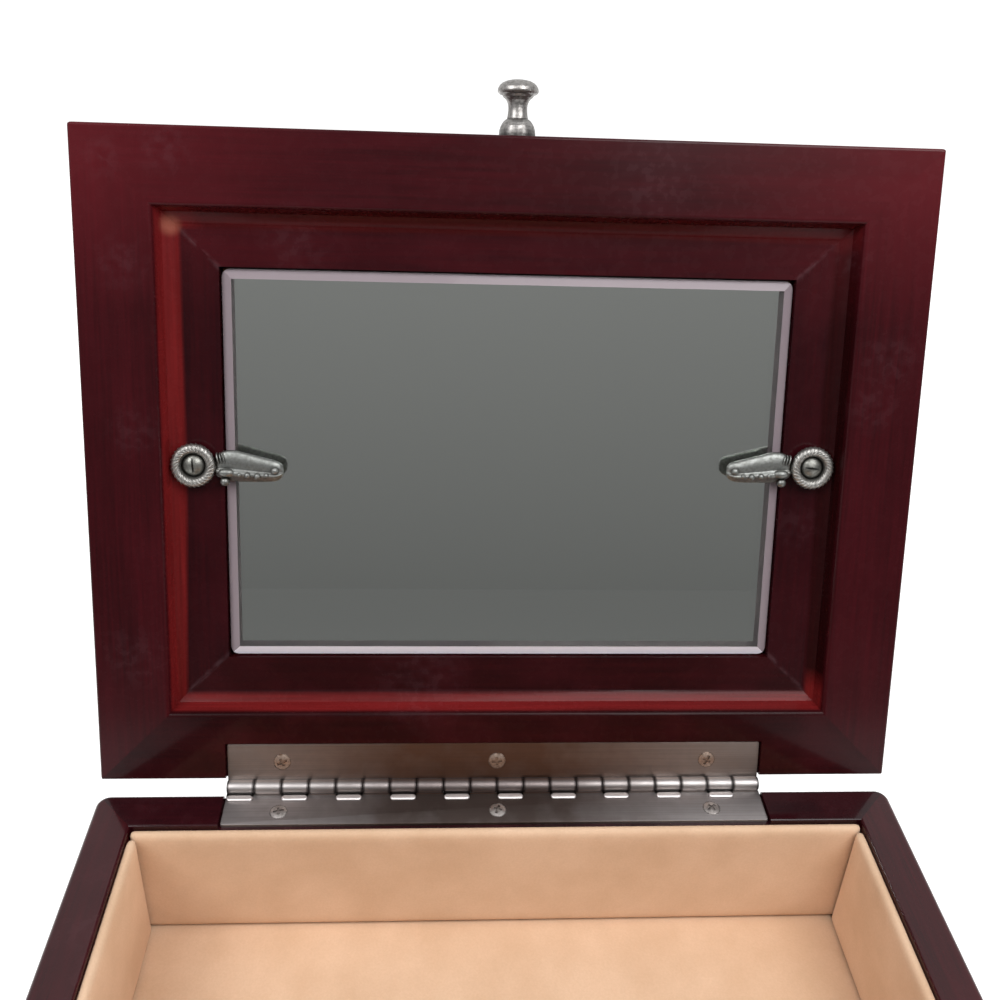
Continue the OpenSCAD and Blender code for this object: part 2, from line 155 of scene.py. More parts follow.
def joined(name, pieces):
    """Joins pieces into one."""
    activate(pieces[0])
    for piece in pieces[1:]:
        piece.select_set(True)
    bpy.ops.object.join()
    return named(name)


def copied(piece, matrix):
    """A copy of a piece, moved by a matrix, with its own mesh."""
    made = piece.copy()
    made.data = piece.data.copy()
    bpy.context.scene.collection.objects.link(made)
    made.matrix_world = matrix @ made.matrix_world
    return made


def smooth(piece, angle=35):
    """Shades a piece smooth, but for edges sharper than the angle in degrees."""
    activate(piece)
    bpy.ops.object.shade_smooth_by_angle(angle=math.radians(angle))


def outward(piece):
    """Merges doubled points and turns the faces outwards."""
    with editing(piece):
        bpy.ops.mesh.select_all(action="SELECT")
        bpy.ops.mesh.remove_doubles(threshold=0.002 * MM)
        bpy.ops.mesh.normals_make_consistent(inside=False)


def finish_piece(piece, matrix, body, material, slot, *nodes):
    """Puts the piece's place into its mesh and lets it stand for its nodes on their body."""
    piece.matrix_world = matrix @ piece.matrix_world
    activate(piece)
    bpy.ops.object.transform_apply(location=True, rotation=True, scale=True)
    piece.data.materials.clear()
    piece.data.materials.append(material)
    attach(piece, body)
    if nodes:
        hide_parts(*nodes)


# Suede pads
PAD_SWELL = 0.45 * MM
PAD_SIDE_GAP = 0.15 * MM
PAD_FRONT_GAP = 0.25 * MM
PAD_EDGE = 0.7 * MM
PAD_CELL = 0.8 * MM
FLOOR_PAD_CELL = 1.3 * MM
SWELL_FRAMES = 12


def suede_pad(node, back, cell):
    """A pad of suede over soft board, swollen by a cloth simulation and held at its back.

    back gives the direction of the side that is glued down.
    """
    low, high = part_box(node)
    shrink = Vector(0.0 if abs(back[i]) > 0.5 else PAD_SIDE_GAP for i in range(3))
    front = Vector(-PAD_FRONT_GAP * back[i] for i in range(3))
    low, high = low + shrink, high - shrink
    low = Vector(low[i] + max(0.0, -front[i]) for i in range(3))
    high = Vector(high[i] - max(0.0, front[i]) for i in range(3))
    pad = block(node + "_pad", low, high)
    modify(pad, "BEVEL", width=PAD_EDGE, segments=2)
    modify(pad, "REMESH", mode="VOXEL", voxel_size=cell)
    rest = [vertex.co.copy() for vertex in pad.data.vertices]
    glued_from = max(point.dot(Vector(back)) for point in rest) - PAD_EDGE
    held = pad.vertex_groups.new(name="held")
    held.add([i for i, point in enumerate(rest) if point.dot(Vector(back)) > glued_from], 1, "ADD")
    swell(pad, rest)
    modify(pad, "SMOOTH", factor=0.5, iterations=2)
    smooth(pad, 80)
    finish_piece(pad, BOX, "box", tan_suede, "suede_lining", node)


def swell(pad, rest):
    """Blows a pad up from within, each point by no more than the set swell."""
    cloth = pad.modifiers.new("Cloth", "CLOTH")
    cloth.settings.quality = 4
    cloth.settings.use_pressure = True
    cloth.settings.uniform_pressure_force = 4
    cloth.settings.vertex_group_mass = "held"
    cloth.settings.effector_weights.gravity = 0
    cloth.point_cache.frame_end = SWELL_FRAMES
    for step in range(1, SWELL_FRAMES + 1):
        bpy.context.scene.frame_set(step)
    activate(pad)
    bpy.ops.object.modifier_apply(modifier=cloth.name)
    bpy.context.scene.frame_set(1)
    with editing(pad):
        mesh = bmesh.from_edit_mesh(pad.data)
        for vertex, start in zip(mesh.verts, rest):
            moved = vertex.co - start
            if moved.length > PAD_SWELL:
                vertex.co = start + moved * (PAD_SWELL / moved.length)
        bmesh.update_edit_mesh(pad.data)


# Hinge
KNUCKLES = 20
BARREL_R = 1.65 * MM
KNUCKLE_GAP = 0.02 * MM
LEAF_T = 0.8 * MM
LEAF_TOP = LEAF_T - BARREL_R
TONGUE_REACH = 2.2 * MM
BAR_FROM = 2.0 * MM
BAR_TO = 3.8 * MM
BAR_UP = 0.55 * MM
LEAF_HEAD_R = 2.15 * MM
LEAF_HEAD_UP = 0.4 * MM


def knuckle(name, length, barred):
    """One rolled knuckle on the pin's axis with its tongue, and a round bar on it, towards -Y."""
    bpy.ops.mesh.primitive_cylinder_add(
        vertices=32, radius=BARREL_R, depth=length, rotation=(0, math.radians(90), 0)
    )
    roll = named(name)
    with editing(roll):
        pick("EDGE", lambda middle, way: abs(way.x) < 0.1)
        bpy.ops.mesh.bevel(offset=0.25 * MM, segments=3, affect="EDGES")
    half = length / 2
    strap = block(name + "_tongue", (-half, -TONGUE_REACH, -BARREL_R), (half, 0, LEAF_TOP))
    if not barred:
        return joined(name, [roll, strap])
    bar = block(
        name + "_bar",
        (-half + 0.1 * MM, -BAR_TO, LEAF_TOP - 0.5 * MM),
        (half - 0.1 * MM, -BAR_FROM, LEAF_TOP + BAR_UP),
    )
    with editing(bar):
        pick("EDGE", lambda middle, way: abs(way.z) > 0.9)
        bpy.ops.mesh.bevel(offset=0.85 * MM, segments=5, affect="EDGES")
        pick("EDGE", lambda middle, way: middle.z > LEAF_TOP + 0.9 * BAR_UP)
        bpy.ops.mesh.bevel(offset=0.5 * MM, segments=4, affect="EDGES")
    return joined(name, [roll, strap, bar])


def hinge_leaf(name, frame_matrix, side, node, body):
    """A leaf of the piano hinge, side 1 towards +Y or -1 towards -Y: a plate whose edge lies
    round the knuckles of the other leaf, and its own knuckles."""
    low, high = corners(node, frame_matrix)
    axis = frame_matrix.inverted() @ PIN
    pin_low, pin_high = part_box("hinge_pin")
    length = pin_high.x - pin_low.x
    pitch = length / KNUCKLES
    reach = (high.y - axis.y) if side > 0 else (axis.y - low.y)
    plate = block(name, (-length / 2, -reach, -BARREL_R), (length / 2, -0.4 * MM, LEAF_TOP))
    with editing(plate):
        pick("EDGE", lambda middle, way: abs(way.z) > 0.9 and middle.y < -0.7 * reach)
        bpy.ops.mesh.bevel(offset=0.5 * MM, segments=4, affect="EDGES")
        pick("EDGE", lambda middle, way: middle.z > LEAF_TOP - 0.1 * MM and middle.y < -0.1 * reach)
        bpy.ops.mesh.bevel(offset=0.12 * MM, segments=2, affect="EDGES")
    bpy.ops.mesh.primitive_cylinder_add(
        vertices=64,
        radius=BARREL_R + 0.05 * MM,
        depth=length + 2 * MM,
        rotation=(0, math.radians(90), 0),
    )
    room = named("room")
    modify(plate, "BOOLEAN", operation="DIFFERENCE", object=room, solver="EXACT")
    bpy.data.objects.remove(room)
    one = knuckle(name + "_knuckle", pitch - KNUCKLE_GAP, side < 0)
    first = 0 if side < 0 else 1
    rolls = [
        copied(one, Matrix.Translation(((i + 0.5) * pitch - length / 2, 0, 0)))
        for i in range(first, KNUCKLES, 2)
    ]
    bpy.data.objects.remove(one)
    leaf = joined(name, [plate, *rolls])
    smooth(leaf)
    place = Matrix.Translation(((pin_low.x + pin_high.x) / 2, axis.y, axis.z))
    if side > 0:
        place = place @ Matrix.Scale(-1, 4, (0, 1, 0))
    finish_piece(leaf, frame_matrix @ place, body, leaf_steel, "hinge_steel", node)
    if side > 0:
        outward(leaf)


def leaf_screw(name):
    """A hinge screw, domed, with a worn cross recess; the head's flat side lies on z = 0."""
    edge = LEAF_HEAD_R - 0.03 * MM
    radius = (edge**2 + LEAF_HEAD_UP**2) / (2 * LEAF_HEAD_UP)
    dome = ball(name, (0, 0, LEAF_HEAD_UP - radius), (radius,) * 3, segments=96)
    with editing(dome):
        bpy.ops.mesh.select_all(action="SELECT")
        bpy.ops.mesh.bisect(
            plane_co=(0, 0, 0), plane_no=(0, 0, 1), clear_inner=True, use_fill=True
        )
    bars = [
        block(name + "_cut", (-1.25 * MM, -0.3 * MM, 0.08 * MM), (1.25 * MM, 0.3 * MM, 1 * MM)),
        block(name + "_cut", (-0.28 * MM, -1.0 * MM, 0.16 * MM), (0.28 * MM, 1.0 * MM, 1 * MM)),
    ]
    for bar in bars:
        modify(dome, "BOOLEAN", operation="DIFFERENCE", object=bar, solver="EXACT")
        bpy.data.objects.remove(bar)
    bpy.ops.mesh.primitive_cylinder_add(
        vertices=24, radius=0.85 * MM, depth=6.8 * MM, location=(0, 0, -3.3 * MM)
    )
    return joined(name, [dome, named("shank")])


def leaf_screws(node, frame_matrix, body, turns, material):
    """The three screws of a leaf, each with its recess turned its own way."""
    low, high = corners(node, frame_matrix)
    pitch = (high.x - low.x) / 2 - LEAF_HEAD_R
    middle = (low + high) / 2
    one = leaf_screw(node + "_one")
    screws = []
    for i, turn in enumerate(turns):
        place = Matrix.Translation((middle.x + (i - 1) * pitch, middle.y, high.z - LEAF_HEAD_UP))
        screws.append(copied(one, place @ Matrix.Rotation(math.radians(turn), 4, "Z")))
    bpy.data.objects.remove(one)
    row = joined(node + "_row", screws)
    smooth(row)
    finish_piece(row, frame_matrix, body, material, "hinge_steel", node)


# Turning clips, drawn at the origin: the screw on the Z axis, the arm towards +X
RING_AT = 2.2 * MM
RING_R = 3.95 * MM
STRANDS = 30
CLIP_DOME_R = 3.3 * MM
CLIP_DOME_UP = 1.35 * MM
CLIP_SLOT = 0.44 * MM
CLIP_HEAD_AT = 1.75 * MM
SLOT_TURNS = {"left": 4, "right": 86}


def roped_ring():
    """Cast ring with twisted strands round a dished middle."""
    bpy.ops.mesh.primitive_torus_add(
        major_segments=72,
        minor_segments=16,
        major_radius=RING_R,
        minor_radius=1.08 * MM,
        location=(0, 0, RING_AT),
    )
    core = named("ring")
    bpy.ops.mesh.primitive_cylinder_add(
        vertices=48, radius=2.5 * MM, depth=RING_AT, location=(0, 0, RING_AT / 2)
    )
    hub = named("hub")
    with editing(hub):
        pick("FACE", lambda middle, way: way.z > 0.9)
        bpy.ops.transform.resize(value=(1.55, 1.55, 1), center_override=(0, 0, RING_AT))
        bpy.ops.mesh.inset(thickness=1.05 * MM)
        bpy.ops.mesh.extrude_region_move(TRANSFORM_OT_translate={"value": (0, 0, -0.5 * MM)})
        bpy.ops.transform.resize(value=(0.95, 0.95, 1), center_override=(0, 0, RING_AT))
    strand = ball("strand", (0, 0, 0), (1.55 * MM, 0.34 * MM, 1.16 * MM), math.radians(40), 12)
    strands = []
    for i in range(STRANDS):
        place = Matrix.Rotation(math.tau * i / STRANDS, 4, "Z")
        place = place @ Matrix.Translation((RING_R, 0, RING_AT + 0.08 * MM))
        strands.append(copied(strand, place))
    bpy.data.objects.remove(strand)
    return [core, hub, *strands]


# Cross-section of the arm from its upper edge over its ridge to its lower edge: width, height
ARM_SECTION = [
    (1.0, 0.1), (0.96, 0.42), (0.74, 0.66), (0.4, 0.78), (0.05, 0.76), (-0.16, 0.66), (-0.3, 0.95),
    (-0.45, 1.0), (-0.58, 0.86), (-0.76, 0.52), (-0.94, 0.3), (-1.0, 0.1), (-0.7, 0.0), (0.7, 0.0),
]  # fmt: skip
# Stations along the arm: distance from the screw, middle across it, half width, height
ARM_STATIONS = [
    (4.6, -0.25, 2.25, 1.5), (5.4, -0.2, 2.8, 1.7), (6.4, -0.15, 3.35, 2.0), (7.6, -0.15, 3.75, 2.15),
    (9.2, -0.2, 3.85, 2.2), (11.0, -0.45, 3.65, 2.15), (13.0, -0.7, 3.35, 2.05), (15.0, -1.0, 3.1, 1.95),
    (17.0, -1.2, 2.8, 1.9), (18.3, -1.3, 2.55, 1.9), (19.2, -1.3, 2.2, 1.75), (19.8, -1.25, 1.7, 1.3),
    (20.2, -1.25, 0.95, 0.75),
]  # fmt: skip
# Beads on the arm: distance from the screw, place across it, height and radius
ARM_BEADS = [
    (10.4, -2.0, 2.7, 0.5), (12.2, -2.15, 2.5, 0.75), (14.4, -2.35, 2.4, 0.8), (16.4, -2.2, 2.35, 0.6),
    (18.3, -1.1, 2.0, 0.95), (7.0, -3.75, 1.9, 1.1),
]  # fmt: skip
# Places of the wraps along the arm
ARM_WRAPS = (5.5, 6.2, 6.9)
ARM_FOOT = 0.7 * MM


def leaf_arm():
    """Leaf-shaped arm: a smooth upper facet over a beaded ridge, wraps and a scroll at its root."""
    start, middle, half, height = (value * MM for value in ARM_STATIONS[0])
    bpy.ops.mesh.primitive_circle_add(
        vertices=len(ARM_SECTION), radius=1 * MM, fill_type="NGON", rotation=(0, math.radians(90), 0)
    )
    arm = named("arm")
    with editing(arm):
        bpy.ops.mesh.select_mode(type="VERT")
        mesh = bmesh.from_edit_mesh(arm.data)
        ring = sorted(mesh.verts, key=lambda vertex: math.atan2(vertex.co.z, vertex.co.y) % math.tau)
        for vertex, (y, z) in zip(ring, ARM_SECTION):
            vertex.co = (start, middle + y * half, ARM_FOOT + z * height)
        bmesh.update_edit_mesh(arm.data)
        bpy.ops.mesh.select_all(action="SELECT")
        for station in ARM_STATIONS[1:]:
            at, shift, wide, high = (value * MM for value in station)
            bpy.ops.mesh.extrude_region_move(
                TRANSFORM_OT_translate={"value": (at - start, shift - middle, 0)}
            )
            bpy.ops.transform.resize(
                value=(1, wide / half, high / height), center_override=(at, shift, ARM_FOOT)
            )
            start, middle, half, height = at, shift, wide, high
    outward(arm)
    modify(arm, "SUBSURF", levels=2, render_levels=2)
    beads = [
        ball("bead", (x * MM, y * MM, z * MM), (radius * MM,) * 3)
        for x, y, z, radius in ARM_BEADS
    ]
    blob = ball("blob", (7.4 * MM, -1.6 * MM, 2.35 * MM), (1.9 * MM, 1.05 * MM, 1.0 * MM))
    wraps = [
        ball("wrap", (x * MM, 1.5 * MM, 1.5 * MM), (0.34 * MM, 1.5 * MM, 1.15 * MM), 0.25)
        for x in ARM_WRAPS
    ]
    return [arm, blob, *beads, *wraps]


def clip_screw():
    """Domed screw with a straight slot, on its shank; the head's flat side lies on z = 0."""
    dome = ball("screw", (0, 0, CLIP_DOME_UP - CLIP_DOME_R), (CLIP_DOME_R,) * 3, segments=48)
    with editing(dome):
        bpy.ops.mesh.select_all(action="SELECT")
        bpy.ops.mesh.bisect(
            plane_co=(0, 0, 0), plane_no=(0, 0, 1), clear_inner=True, use_fill=True
        )
    half = CLIP_SLOT / 2
    slot = block("slot", (-half, -3 * MM, 0.8 * MM), (half, 3 * MM, 3 * MM))
    modify(dome, "BOOLEAN", operation="DIFFERENCE", object=slot, solver="EXACT")
    bpy.data.objects.remove(slot)
    bpy.ops.mesh.primitive_cylinder_add(
        vertices=24, radius=1.25 * MM, depth=5 * MM, location=(0, 0, -2.4 * MM)
    )
    return joined("clip_screw", [dome, named("shank")])


def turning_clips():
    """Both clips and their screws; the right clip is the left one's mirror image."""
    left = joined("turn_clip_cast", roped_ring() + leaf_arm())
    smooth(left, 50)
    screw = clip_screw()
    smooth(screw, 40)
    seats = {}
    for side in ("left", "right"):
        joint = next(j for j in frame["joints"] if j["name"] == f"clip_{side}_turn")
        seat = LID.inverted() @ Vector(joint["pos_m"])
        seat.z = corners(f"turn_clip_{side}", LID)[0].z
        seats[side] = LID @ Matrix.Translation(seat)
    right = copied(left, Matrix.Identity(4))
    right.name = "turn_clip_cast_right"
    left.name = "turn_clip_cast_left"
    finish_piece(left, seats["left"], "clip_left", clip_pewter, "antique_pewter", "turn_clip_left")
    flipped = seats["right"] @ Matrix.Scale(-1, 4, (1, 0, 0))
    finish_piece(right, flipped, "clip_right", clip_pewter, "antique_pewter", "turn_clip_right")
    outward(right)
    up = Matrix.Translation((0, 0, CLIP_HEAD_AT))
    screws = [
        copied(screw, seats[side] @ up @ Matrix.Rotation(math.radians(turn), 4, "Z"))
        for side, turn in SLOT_TURNS.items()
    ]
    bpy.data.objects.remove(screw)
    pair = joined("clip_screw_pair", screws)
    finish_piece(pair, BOX, "lid", screw_pewter, "antique_pewter", "clip_screws")


# Mirror
def silver_film():
    """Silver film just inside the back of the glass."""
    low, high = corners("mirror_glass", LID)
    inset = 0.15 * MM
    film = block(
        "mirror_silver_film",
        (low.x + inset, low.y + inset, low.z + 0.03 * MM),
        (high.x - inset, high.y - inset, low.z + 0.06 * MM),
    )
    with editing(film):
        pick("EDGE", lambda middle, way: abs(way.z) > 0.9)
        bpy.ops.mesh.bevel(offset=2 * MM, segments=6, affect="EDGES")
    finish_piece(film, LID, "lid", silver, "mirror_plate")


# Materials
def linear(colour):
    """Linear RGBA of an sRGB hex colour."""
    parts = [int(colour[i : i + 2], 16) / 255 for i in (1, 3, 5)]
    return (*(c / 12.92 if c <= 0.04045 else ((c + 0.055) / 1.055) ** 2.4 for c in parts), 1)


def add(tree, kind, inputs=None, **settings):
    """Adds a node with its settings; an input takes a value or another node's output."""
    made = tree.nodes.new("ShaderNode" + kind)
    for name, value in settings.items():
        setattr(made, name, value)
    for socket, value in (inputs or {}).items():
        if isinstance(value, bpy.types.NodeSocket):
            tree.links.new(value, made.inputs[socket])
        else:
            made.inputs[socket].default_value = value
    return made


def new_material(name):
    made = bpy.data.materials.new(name)
    made.use_nodes = True
    made.node_tree.nodes.clear()
    return made, made.node_tree


def per_mm(size):
    """Scale of a pattern whose grain measures that many millimetres."""
    return 1 / (size * MM)


# Places on the lid, in its own frame. A ring is a rectangle round the lid's middle, told by how far
# it reaches towards the hinge edge and the knob edge. To the left and right it reaches further.
LID_MIDDLE_Y = 75 * MM
LID_LONGER = 20 * MM
# The ring of the sunk field's edge, those between which its stained step begins, how far these
# drift by the hinge, and the step's heights and sides
FIELD_EDGE = 60 * MM
STEP_NEAR = 53.3 * MM
STEP_FAR = 54.3 * MM
STEP_DRIFT = 1.7 * MM
STEP_HEAD = -0.5 * MM
STEP_FOOT = -1.9 * MM
STEP_LEFT = -78 * MM
STEP_BY_HINGE = 17 * MM
STEP_BY_KNOB = 130 * MM
# Middle of a painted glint in a corner of the step
STEP_GLINT = (-75.6 * MM, 129.4 * MM, -5 * MM)

# Weight of the box's clear skin, and how far dust lightens the wood
BOX_SKIN = 0.48
DUST = 0.035

# Fingermarks and dust on the lid: middle in the lid's frame and radius, in millimetres
MARKS = [
    (-88, 143, 4), (-75, 145, 5), (-85, 121, 5), (-48, 127, 7), (76, 126, 4), (87, 103, 6),
    (84, 92, 5), (-84, 84, 5), (-86, 31, 6), (70, 62, 5), (30, 142, 8), (-20, 24, 9),
]  # fmt: skip


def lid_zones(tree, place):
    """Where a point of the lid lies: its axes, its distances from the middle lines, and shares
    from 0 to 1 for the field, the step's far side, the inner face and the nearness to the hinge."""
    axes = add(tree, "SeparateXYZ", {"Vector": place}).outputs
    far_x = add(tree, "Math", {0: axes["X"]}, operation="ABSOLUTE").outputs[0]
    far_y = add(tree, "Math", {0: axes["Y"], 1: LID_MIDDLE_Y}, operation="SUBTRACT").outputs[0]
    far_y = add(tree, "Math", {0: far_y}, operation="ABSOLUTE").outputs[0]
    ring = add(tree, "Math", {0: far_x, 1: LID_LONGER}, operation="SUBTRACT").outputs[0]
    ring = add(tree, "Math", {0: ring, 1: far_y}, operation="MAXIMUM").outputs[0]
    inner = add(tree, "Math", {0: axes["Z"], 1: -8 * MM}, operation="GREATER_THAN").outputs[0]
    field = add(tree, "Math", {0: ring, 1: FIELD_EDGE}, operation="LESS_THAN").outputs[0]
    field = add(tree, "Math", {0: field, 1: inner}, operation="MULTIPLY").outputs[0]
    hingeward = add(
        tree,
        "MapRange",
        {"Value": axes["Y"], "From Min": LID_MIDDLE_Y, "From Max": STEP_BY_HINGE},
    ).outputs["Result"]
    drift = add(tree, "Math", {0: hingeward, 1: STEP_DRIFT}, operation="MULTIPLY").outputs[0]
    drift = add(tree, "Math", {0: ring, 1: drift}, operation="SUBTRACT").outputs[0]
    beyond = add(
        tree, "MapRange", {"Value": drift, "From Min": STEP_NEAR, "From Max": STEP_FAR}
    ).outputs["Result"]
    return {
        "x": axes["X"],
        "y": axes["Y"],
        "z": axes["Z"],
        "far_x": far_x,
        "far_y": far_y,
        "inner": inner,
        "field": field,
        "hingeward": hingeward,
        "beyond": beyond,
    }


def step_stain_and_light(tree, colour, tone, zones):
    """The step inside the field, stained red: painted light makes it bright on the left and by the
    hinge, and painted shade makes it dark on the other two sides, less so by the knob."""
    below = add(
        tree,
        "MapRange",
        {"Value": zones["z"], "From Min": STEP_HEAD, "From Max": STEP_FOOT},
        interpolation_type="SMOOTHSTEP",
    ).outputs["Result"]
    step = add(tree, "Math", {0: below, 1: zones["beyond"]}, operation="MULTIPLY").outputs[0]
    step = add(tree, "Math", {0: step, 1: zones["field"]}, operation="MULTIPLY").outputs[0]
    # Lit and shaded reds of the step: painted light and painted shade
    lit_step_red = add(
        tree, "MixRGB", {"Fac": tone, "Color1": linear("#561314"), "Color2": linear("#6e1b1c")}
    ).outputs["Color"]
    shaded_step_red = add(
        tree, "MixRGB", {"Fac": tone, "Color1": linear("#1b0405"), "Color2": linear("#280709")}
    ).outputs["Color"]
    # Painted light on the left side and the hinge side, painted shade on the right side and the knob
    # side
    leftward = add(tree, "Math", {0: zones["x"], 1: STEP_LEFT}, operation="DIVIDE").outputs[0]
    painted_light_share = add(
        tree, "Math", {0: leftward, 1: zones["hingeward"]}, operation="MAXIMUM"
    ).outputs[0]
    painted_light_share = add(
        tree, "MapRange", {"Value": painted_light_share, "From Min": 0.84, "From Max": 0.93}
    ).outputs["Result"]
    knobward = add(
        tree,
        "MapRange",
        {
            "Value": zones["y"],
            "From Min": STEP_BY_KNOB - 4 * MM,
            "From Max": STEP_BY_KNOB,
            "To Max": 0.42,
        },
    ).outputs["Result"]
    painted_light_share = add(tree, "Math", {0: painted_light_share, 1: knobward}, operation="MAXIMUM").outputs[0]
    stain = add(
        tree, "MixRGB", {"Fac": painted_light_share, "Color1": shaded_step_red, "Color2": lit_step_red}
    ).outputs["Color"]
    return add(
        tree, "MixRGB", {"Fac": step, "Color1": colour, "Color2": stain}
    ).outputs["Color"]


def mitre_lines(tree, colour, patches, zones):
    """The mitres of the inner rails: faint pale lines, broken where the lacquer has closed them."""
    mitre = add(
        tree, "Math", {0: zones["far_x"], 1: zones["far_y"]}, operation="SUBTRACT"
    ).outputs[0]
    mitre = add(tree, "Math", {0: mitre, 1: LID_LONGER}, operation="SUBTRACT").outputs[0]
    mitre = add(tree, "Math", {0: mitre}, operation="ABSOLUTE").outputs[0]
    mitre = add(
        tree,
        "MapRange",
        {"Value": mitre, "From Min": 1.1 * MM, "From Max": 0.1 * MM, "To Max": 0.08},
    ).outputs["Result"]
    within = add(tree, "Math", {0: 1, 1: zones["beyond"]}, operation="SUBTRACT").outputs[0]
    for share in (patches, within, zones["inner"]):
        mitre = add(tree, "Math", {0: mitre, 1: share}, operation="MULTIPLY").outputs[0]
    return add(
        tree, "MixRGB", {"Fac": mitre, "Color1": colour, "Color2": linear("#a88890")}
    ).outputs["Color"]


def painted_corner_light(tree, colour, place, zones):
    """A painted glint in a corner of the step, and painted light on the lid's two outer corners by
    the knob, which are lighter."""
    # Painted highlight: a peach glint in the step's corner
    glint = add(
        tree, "VectorMath", {0: place, 1: STEP_GLINT}, operation="DISTANCE"
    ).outputs["Value"]
    glint = add(
        tree,
        "MapRange",
        {"Value": glint, "From Min": 3.2 * MM, "From Max": 0.6 * MM, "To Max": 0.8},
        interpolation_type="SMOOTHSTEP",
    ).outputs["Result"]
    colour = add(
        tree, "MixRGB", {"Fac": glint, "Color1": colour, "Color2": linear("#a3604e")}
    ).outputs["Color"]
    # Painted light: the lid's outer corners by the knob are lighter
    corner_light = add(
        tree, "MapRange", {"Value": zones["y"], "From Min": 110 * MM, "From Max": 142 * MM}
    ).outputs["Result"]
    outer = add(
        tree,
        "MapRange",
        {"Value": zones["far_x"], "From Min": 40 * MM, "From Max": 90 * MM, "To Max": 0.38},
    ).outputs["Result"]
    corner_light = add(tree, "Math", {0: corner_light, 1: outer}, operation="MULTIPLY").outputs[0]
    return add(
        tree, "MixRGB", {"Fac": corner_light, "Color1": colour, "Color2": linear("#6d1c24")}
    ).outputs["Color"]


def lid_skin(tree, zones):
    """Weight of the clear skin, which is thinner on the step of the sunk field."""
    sunk = add(
        tree, "MapRange", {"Value": zones["z"], "From Min": -0.01 * MM, "From Max": -0.06 * MM}
    ).outputs["Result"]
    sunk = add(tree, "Math", {0: sunk, 1: zones["field"]}, operation="MULTIPLY").outputs[0]
    flat = add(tree, "Math", {0: zones["beyond"], 1: sunk}, operation="MULTIPLY").outputs[0]
    return add(
        tree, "MapRange", {"Value": flat, "To Min": 0.15, "To Max": 0.03}
    ).outputs["Result"]


def fingermarks(tree, place):
    """1 in the middle of a mark on the lid, falling to 0 at its edge."""
    marked = None
    for x, y, radius in MARKS:
        gap = add(
            tree, "VectorMath", {0: place, 1: (x * MM, y * MM, -2 * MM)}, operation="DISTANCE"
        ).outputs["Value"]
        spot = add(
            tree,
            "MapRange",
            {"Value": gap, "From Min": radius * 1.6 * MM, "From Max": radius * 0.4 * MM},
            interpolation_type="SMOOTHSTEP",
        ).outputs["Result"]
        if marked is None:
            marked = spot
        else:
            marked = add(tree, "Math", {0: marked, 1: spot}, operation="MAXIMUM").outputs[0]
    return marked


def cherry_lacquer(name, along, lid, dark, light, seed):
    """Cherry, planed, stained dark red and sprayed with gloss lacquer: deep colour under a clear
    skin, with faint streaks that run along each rail. On the lid its own functions add mitre lines and
    the painted light and shade of its step and corners, and fingermarks and dust dull the shine."""
    made, tree = new_material(name)
    place = add(tree, "TexCoord").outputs["Object"]
    if lid:
        to_lid = LID.inverted()
        place = add(
            tree,
            "Mapping",
            {
                "Vector": place,
                "Location": to_lid.to_translation(),
                "Rotation": to_lid.to_euler(),
            },
        ).outputs["Vector"]
    shifted = add(
        tree, "Mapping", {"Vector": place, "Location": (seed, 2 * seed, 3 * seed)}
    ).outputs["Vector"]

    def streaks(width, length, detail):
        across, lengthwise = per_mm(width), per_mm(length)
        scale = (lengthwise, across, across) if along == "X" else (across, lengthwise, across)
        run = add(tree, "Mapping", {"Vector": shifted, "Scale": scale}).outputs["Vector"]
        return add(
            tree, "TexNoise", {"Vector": run, "Scale": 1, "Detail": detail, "Roughness": 0.6}
        ).outputs["Fac"]

    figure = streaks(6, 70, 3)
    grain = streaks(0.6, 26, 4)
    cloud = add(tree, "TexNoise", {"Vector": shifted, "Scale": per_mm(18), "Detail": 4}).outputs["Fac"]
    grime = add(tree, "TexNoise", {"Vector": shifted, "Scale": per_mm(2.5), "Detail": 6}).outputs["Fac"]

    tone = add(tree, "Math", {0: figure, 1: grain}, operation="ADD").outputs[0]
    tone = add(
        tree, "MapRange", {"Value": tone, "From Min": 0.75, "From Max": 1.25}
    ).outputs["Result"]
    colour = add(
        tree, "MixRGB", {"Fac": tone, "Color1": linear(dark), "Color2": linear(light)}
    ).outputs["Color"]
    worn = add(
        tree, "MapRange", {"Value": cloud, "From Min": 0.45, "From Max": 0.75, "To Max": 0.45}
    ).outputs["Result"]
    colour = add(
        tree, "MixRGB", {"Fac": worn, "Color1": colour, "Color2": linear("#3f1016")}
    ).outputs["Color"]
    patches = add(
        tree, "MapRange", {"Value": grime, "From Min": 0.38, "From Max": 0.66}
    ).outputs["Result"]
    if lid:
        zones = lid_zones(tree, place)
        colour = step_stain_and_light(tree, colour, tone, zones)
        colour = mitre_lines(tree, colour, patches, zones)
        colour = painted_corner_light(tree, colour, place, zones)
        skin = lid_skin(tree, zones)
        marked = fingermarks(tree, place)
    else:
        skin = BOX_SKIN
        marked = add(
            tree, "MapRange", {"Value": cloud, "From Min": 0.55, "From Max": 0.75}
        ).outputs["Result"]
    dust = add(tree, "Math", {0: patches, 1: marked}, operation="MULTIPLY").outputs[0]
    dust = add(tree, "Math", {0: dust, 1: DUST}, operation="MULTIPLY").outputs[0]
    colour = add(
        tree, "MixRGB", {"Fac": dust, "Color1": colour, "Color2": linear("#90707a")}
    ).outputs["Color"]
    rough = add(
        tree,
        "MapRange",
        {"Value": grime, "From Min": 0.3, "From Max": 0.75, "To Min": 0.22, "To Max": 0.32},
    ).outputs["Result"]
    bump = add(
        tree, "Bump", {"Height": grain, "Strength": 0.1, "Distance": 0.05 * MM}
    ).outputs["Normal"]
    wood = add(
        tree,
        "BsdfPrincipled",
        {
            "Base Color": colour,
            "Roughness": rough,
            "IOR": 1.5,
            "Specular IOR Level": 0.1,
            "Normal": bump,
            "Coat Weight": skin,
            "Coat Roughness": 0.07,
        },
    )
    add(tree, "OutputMaterial", {"Surface": wood.outputs[0]})
    return made


